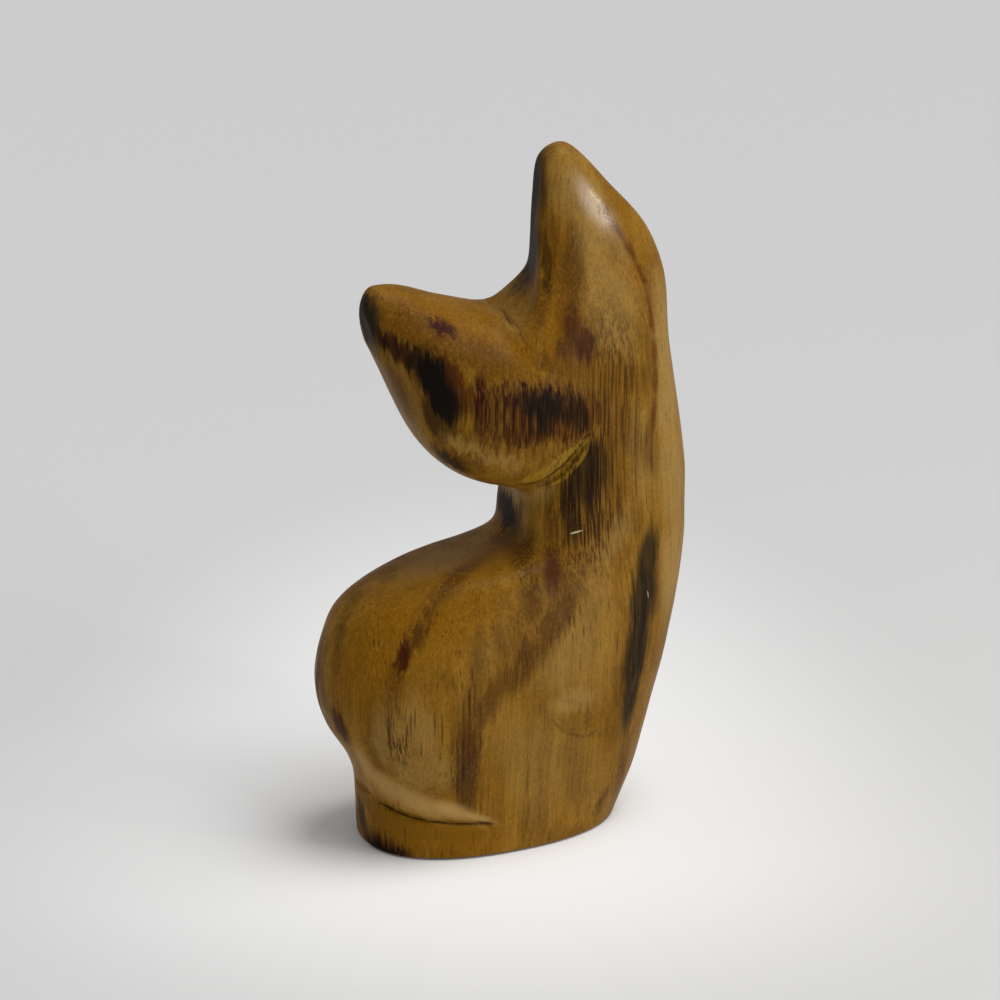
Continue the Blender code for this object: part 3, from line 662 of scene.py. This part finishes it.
def paintWood():
    material, tree = newMaterial("oiled scorched hardwood with painted light and shade")
    grain, skin = woodGrain, oilSkin
    inMetres = addNode(tree, "ShaderNodeTexCoord", {}, gives="Object")
    inMm = addNode(tree, "ShaderNodeVectorMath", {0: inMetres, "Scale": 1000.0}, operation="SCALE")

    # the grain leans gently one way and back
    lean = addNode(tree, "ShaderNodeTexNoise", {"Vector": inMm, "Scale": 1 / grain["drift"], "Detail": 1.0},
                   gives="Color")
    lean = addNode(tree, "ShaderNodeVectorMath", {0: lean, 1: (0.5, 0.5, 0.5)}, operation="SUBTRACT")
    leanBy = (2 * grain["driftBy"], 2 * grain["driftBy"], 0.0)
    lean = addNode(tree, "ShaderNodeVectorMath", {0: lean, 1: leanBy}, operation="MULTIPLY")
    along = addNode(tree, "ShaderNodeVectorMath", {0: inMm, 1: lean}, operation="ADD")

    patterns = {}
    for name, (across, run, detail, roughness) in woodPatterns.items():
        drawnOut = addNode(tree, "ShaderNodeMapping",
                           {"Vector": along, "Scale": (1 / across, 1 / across, 1 / run)})
        patterns[name] = addNode(tree, "ShaderNodeTexNoise", {"Vector": drawnOut, "Scale": 1.0,
                                                              "Detail": detail, "Roughness": roughness},
                                 gives="Fac")

    # the wood before any flame touched it
    colour = layTones(tree, linear(grain["plain"]), patterns, woodTones)

    # the edges of burns run along the fibres, and are ragged across them
    feather = addNode(tree, "ShaderNodeMapRange", {"Value": patterns["comb"], "To Min": -grain["feather"],
                                                   "To Max": grain["feather"]}, clamp=False)
    feather = addNode(tree, "ShaderNodeCombineXYZ", {"Z": feather})
    streaks = addNode(tree, "ShaderNodeMapping", {"Vector": along, "Scale": grain["raggedDrawn"]})
    ragged = addNode(tree, "ShaderNodeTexNoise", {"Vector": streaks, "Scale": 1.0, "Detail": 4.0,
                                                  "Roughness": 0.65}, gives="Color")
    ragged = addNode(tree, "ShaderNodeVectorMath", {0: ragged, 1: (0.5, 0.5, 0.5)}, operation="SUBTRACT")
    ragged = addNode(tree, "ShaderNodeVectorMath", {0: ragged, "Scale": grain["ragged"]}, operation="SCALE")
    burnPlace = addNode(tree, "ShaderNodeVectorMath", {0: inMm, 1: feather}, operation="ADD")
    burnPlace = addNode(tree, "ShaderNodeVectorMath", {0: burnPlace, 1: ragged}, operation="ADD")

    # where the pores stand open, some fibres missed the flame
    opened = addStrokes(tree, burnPlace, openPores["strokes"], openPores["soft"])
    missed = addNode(tree, "ShaderNodeMapRange", {"Value": patterns["fibre"], "From Min": grain["missed"][0],
                                                  "From Max": grain["missed"][1]},
                     interpolation_type="SMOOTHSTEP")
    missed = addNode(tree, "ShaderNodeMath", {0: missed, 1: opened}, operation="MULTIPLY")

    masks = {}
    colour = layMarks(tree, colour, stainsWithPaintedLightAndShade, masks, inMm, burnPlace, missed)
    colour = layTones(tree, colour, patterns, grainTones)
    colour = layMarks(tree, colour, burnsCutsWithPaintedLightAndShade, masks, inMm, burnPlace, missed)

    # pores: long thin cells along the grain
    cellSize = (1 / grain["poreGap"], 1 / grain["poreGap"], 1 / grain["poreRun"])
    cells = addNode(tree, "ShaderNodeMapping", {"Vector": along, "Scale": cellSize})
    cells = addNode(tree, "ShaderNodeTexVoronoi", {"Vector": cells, "Scale": 1.0}, gives="Distance",
                    feature="F1")
    pores = addNode(tree, "ShaderNodeMapRange", {"Value": cells, "From Min": grain["poreCore"][0],
                                                 "From Max": grain["poreCore"][1]},
                    interpolation_type="SMOOTHSTEP")
    patchy = addNode(tree, "ShaderNodeMapRange",
                     {"Value": patterns["open"], "From Min": grain["patchy"][0],
                      "From Max": grain["patchy"][1], "To Min": grain["patchyShare"][0],
                      "To Max": grain["patchyShare"][1]},
                     interpolation_type="SMOOTHSTEP")
    vessels = addNode(tree, "ShaderNodeMapRange",
                      {"Value": patterns["fibre"], "From Min": grain["vessels"][0],
                       "From Max": grain["vessels"][1], "To Max": grain["vesselDark"]},
                      interpolation_type="SMOOTHSTEP")
    vessels = addNode(tree, "ShaderNodeMath", {0: vessels, 1: opened}, operation="MULTIPLY")
    opened = addNode(tree, "ShaderNodeMath", {0: patchy, 1: opened}, operation="MAXIMUM")
    poreDark = addNode(tree, "ShaderNodeMath", {0: pores, 1: opened}, operation="MULTIPLY")
    poreDark = addNode(tree, "ShaderNodeMath", {0: poreDark, 1: grain["poreDark"]}, operation="MULTIPLY")
    poreDark = addNode(tree, "ShaderNodeMath", {0: poreDark, 1: vessels}, operation="MAXIMUM")
    colour = addNode(tree, "ShaderNodeMix", {0: poreDark, 6: colour, 7: linear(grain["poreTint"])}, gives=2,
                     data_type="RGBA")

    scratched = addStrokes(tree, inMm, scratches["strokes"], scratches["soft"])
    colour = addNode(tree, "ShaderNodeMix", {0: scratched, 6: colour, 7: linear(scratches["tint"])}, gives=2,
                     data_type="RGBA")

    roughness = addNode(tree, "ShaderNodeMapRange",
                        {"Value": patterns["blotch"], "From Min": skin["uneven"][0],
                         "From Max": skin["uneven"][1], "To Min": skin["roughness"][0],
                         "To Max": skin["roughness"][1]})
    # the mask of the sooty marks also holds painted shade, which gets the same rougher oil
    burntAndPaintedShade = addNode(tree, "ShaderNodeMath", {0: masks["char"], 1: masks["smokeAndPaintedShade"]}, operation="MAXIMUM")
    for place, rougher in ((burntAndPaintedShade, skin["burntAndPaintedShadeRougher"]), (poreDark, skin["poresRougher"])):
        roughness = addNode(tree, "ShaderNodeMath", {0: place, 1: rougher, 2: roughness},
                            operation="MULTIPLY_ADD")
    touched = addStrokes(tree, inMm, polished["strokes"], polished["soft"])
    roughness = addNode(tree, "ShaderNodeMix", {0: touched, 2: roughness, 3: skin["polishedRoughness"]})
    gloss = addNode(tree, "ShaderNodeMapRange", {"Value": touched, "To Min": skin["gloss"][0],
                                                 "To Max": skin["gloss"][1]})

    height = addNode(tree, "ShaderNodeMath", {0: patterns["fibre"], 1: skin["fibreShare"]},
                     operation="MULTIPLY")
    for place, share in ((patterns["stipple"], skin["stippleShare"]), (pores, skin["poreShare"])):
        height = addNode(tree, "ShaderNodeMath", {0: place, 1: share, 2: height}, operation="MULTIPLY_ADD")
    relief = addNode(tree, "ShaderNodeBump", {"Height": height, "Strength": skin["reliefStrength"],
                                              "Distance": skin["relief"]})

    shader = addNode(tree, "ShaderNodeBsdfPrincipled",
                     {"Base Color": colour, "Roughness": roughness, "Normal": relief, "IOR": skin["index"],
                      "Specular IOR Level": gloss})
    addNode(tree, "ShaderNodeOutputMaterial", {"Surface": shader})
    return material


# Wool felt, pressed and cut: matt, with hairs that catch a little light at the edge.
def paintFelt():
    material, tree = newMaterial("pressed black wool felt")
    inMetres = addNode(tree, "ShaderNodeTexCoord", {}, gives="Object")
    hairs = addNode(tree, "ShaderNodeTexNoise", {"Vector": inMetres, "Scale": 1 / feltPad["hair"],
                                                 "Detail": 4.0, "Roughness": 0.7, "Distortion": 1.2},
                    gives="Fac")
    colour = addNode(tree, "ShaderNodeMix", {0: hairs, 6: linear(feltPad["darkHair"]),
                                             7: linear(feltPad["lightHair"])}, gives=2, data_type="RGBA")
    relief = addNode(tree, "ShaderNodeBump", {"Height": hairs, "Strength": 0.8,
                                              "Distance": feltPad["hairRelief"]})
    shader = addNode(tree, "ShaderNodeBsdfPrincipled",
                     {"Base Color": colour, "Roughness": 0.95, "Sheen Weight": 0.2, "Sheen Roughness": 0.5,
                      "Normal": relief})
    addNode(tree, "ShaderNodeOutputMaterial", {"Surface": shader})
    return material


# Floor, light and camera.
studio = {
    "azimuth": -25, "elevation": 18, "distance": 480 * mm,
    "target": (3.1 * mm, 0, 60 * mm),
    "lens": 99, "sensor": 36,
    "floorSize": 30.0, "floorFar": "#cbcbcb", "floorNear": "#eeeeee",
    "poolMiddle": -10 * mm,  # the middle of the light painted on the floor, away from the camera
    "poolAcross": 104 * mm, "poolAway": 240 * mm, "poolToward": 84 * mm,  # and how far it reaches
    "poolEdge": (1.0, 0.1),  # the painted light starts at the first share of its reach, and is full at the second
    "room": 0.41, "backdrop": "#cccccc",
    "sunPower": 2.03, "sunAngle": 38,
    "sunSide": (0.55, 0.06, 1.5),  # to the right, toward the camera and up
    "windowPower": 0.90, "windowWide": 200 * mm, "windowAway": 600 * mm, "windowSide": (0.41, -0.90, 0.14),
    "glintPower": 0.062, "glintWide": 11 * mm, "glintTall": 38 * mm, "glintAway": 250 * mm,
    "glintColour": (1.0, 0.90, 0.70),
    "glintOn": (18.6 * mm, -4.9 * mm, 112.4 * mm),  # the polished place on the upright ear
    "glintSide": (0.575, -0.800, 0.17),  # and where it mirrors to
}


def viewAxes():
    turn, rise = math.radians(studio["azimuth"]), math.radians(studio["elevation"])
    right = Vector((math.cos(turn), math.sin(turn), 0))
    back = Vector((math.sin(turn) * math.cos(rise), -math.cos(turn) * math.cos(rise), math.sin(rise)))
    return right, back


# Matt seamless paper, rolled out flat, with a pale patch of light painted on it around the figure.
def buildFloor():
    deselectAll()
    bpy.ops.mesh.primitive_plane_add(size=studio["floorSize"], location=(0, 0, 0))
    floor = bpy.context.object
    floor.name = "floor"
    material, tree = newMaterial("pale studio floor with painted light patch")
    inMetres = addNode(tree, "ShaderNodeTexCoord", {}, gives="Object")
    turn = math.radians(studio["azimuth"])
    middle = Vector((-math.sin(turn), math.cos(turn), 0)) * studio["poolMiddle"]
    turned = addNode(tree, "ShaderNodeMapping", {"Vector": inMetres, "Location": middle,
                                                 "Rotation": (0, 0, turn)}, vector_type="TEXTURE")
    sideways = addNode(tree, "ShaderNodeSeparateXYZ", {"Vector": turned}, gives="X")
    inward = sideways.node.outputs["Y"]
    across = addNode(tree, "ShaderNodeMath", {0: sideways, 1: studio["poolAcross"]}, operation="DIVIDE")
    away = addNode(tree, "ShaderNodeMath", {0: inward, 1: studio["poolAway"]}, operation="DIVIDE")
    toward = addNode(tree, "ShaderNodeMath", {0: inward, 1: studio["poolToward"]}, operation="DIVIDE")
    deep = addNode(tree, "ShaderNodeMath", {0: away, 1: toward}, operation="MINIMUM")
    reach = addNode(tree, "ShaderNodeCombineXYZ", {"X": across, "Y": deep})
    reach = addNode(tree, "ShaderNodeVectorMath", {0: reach}, gives="Value", operation="LENGTH")
    paintedLightPool = addNode(tree, "ShaderNodeMapRange", {"Value": reach, "From Min": studio["poolEdge"][0],
                                                "From Max": studio["poolEdge"][1]},
                   interpolation_type="SMOOTHSTEP")
    # painted light: the floor is paler near the figure
    tone = addNode(tree, "ShaderNodeMix", {0: paintedLightPool, 6: linear(studio["floorFar"]),
                                           7: linear(studio["floorNear"])}, gives=2, data_type="RGBA")
    matt = addNode(tree, "ShaderNodeBsdfDiffuse", {"Color": tone})
    addNode(tree, "ShaderNodeOutputMaterial", {"Surface": matt})
    floor.data.materials.append(material)


def addLamp(name, kind, aim, direction, distance, **settings):
    lamp = bpy.data.lights.new(name, kind)
    for key, value in settings.items():
        setattr(lamp, key, value)
    holder = bpy.data.objects.new(name, lamp)
    scene.collection.objects.link(holder)
    holder.location = Vector(aim) + direction.normalized() * distance
    holder.rotation_euler = direction.to_track_quat("Z", "Y").to_euler()


def lightStudio():
    right, back = viewAxes()
    front = Vector((back.x, back.y, 0)).normalized()
    toRight, toFront, toTop = studio["sunSide"]
    sunSide = right * toRight + front * toFront + Vector((0, 0, toTop))
    addLamp("overheadSoftbox", "SUN", studio["target"], sunSide, 1.0, energy=studio["sunPower"],
            angle=math.radians(studio["sunAngle"]))
    addLamp("windowBox", "AREA", studio["target"], Vector(studio["windowSide"]), studio["windowAway"],
            energy=studio["windowPower"], shape="SQUARE", size=studio["windowWide"])
    addLamp("glintBox", "AREA", studio["glintOn"], Vector(studio["glintSide"]), studio["glintAway"],
            energy=studio["glintPower"], color=studio["glintColour"], shape="RECTANGLE",
            size=studio["glintWide"], size_y=studio["glintTall"])
    world = bpy.data.worlds.new("softRoom")
    scene.world = world
    world.use_nodes = True
    tree = world.node_tree
    tree.nodes.clear()
    # the camera sees a plain backdrop, and the figure is lit by the room
    seen = addNode(tree, "ShaderNodeLightPath", {}, gives="Is Camera Ray")
    room = addNode(tree, "ShaderNodeBackground", {"Color": linear("#ffffff"), "Strength": studio["room"]})
    backdrop = addNode(tree, "ShaderNodeBackground", {"Color": linear(studio["backdrop"]), "Strength": 1.0})
    both = addNode(tree, "ShaderNodeMixShader", {0: seen, 1: room, 2: backdrop})
    addNode(tree, "ShaderNodeOutputWorld", {"Surface": both})


def placeCamera():
    right, back = viewAxes()
    lens = bpy.data.cameras.new("photoCamera")
    lens.lens = studio["lens"]
    lens.sensor_width = studio["sensor"]
    lens.clip_start = 0.01
    lens.clip_end = 60
    camera = bpy.data.objects.new("photoCamera", lens)
    scene.collection.objects.link(camera)
    camera.location = Vector(studio["target"]) + back * studio["distance"]
    camera.rotation_euler = back.to_track_quat("Z", "Y").to_euler()
    scene.camera = camera


figure = carveFigure()
figure.data.materials.append(paintWood())
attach(figure, "root")
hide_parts("carved_cat")
print("figure oiled and scorched")

pad, flatArea = cutFelt()
pad.data.materials.append(paintFelt())
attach(pad, "root")
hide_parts("felt_pad")

buildFloor()
lightStudio()
placeCamera()
scene.view_settings.view_transform = "Standard"
print("studio ready")
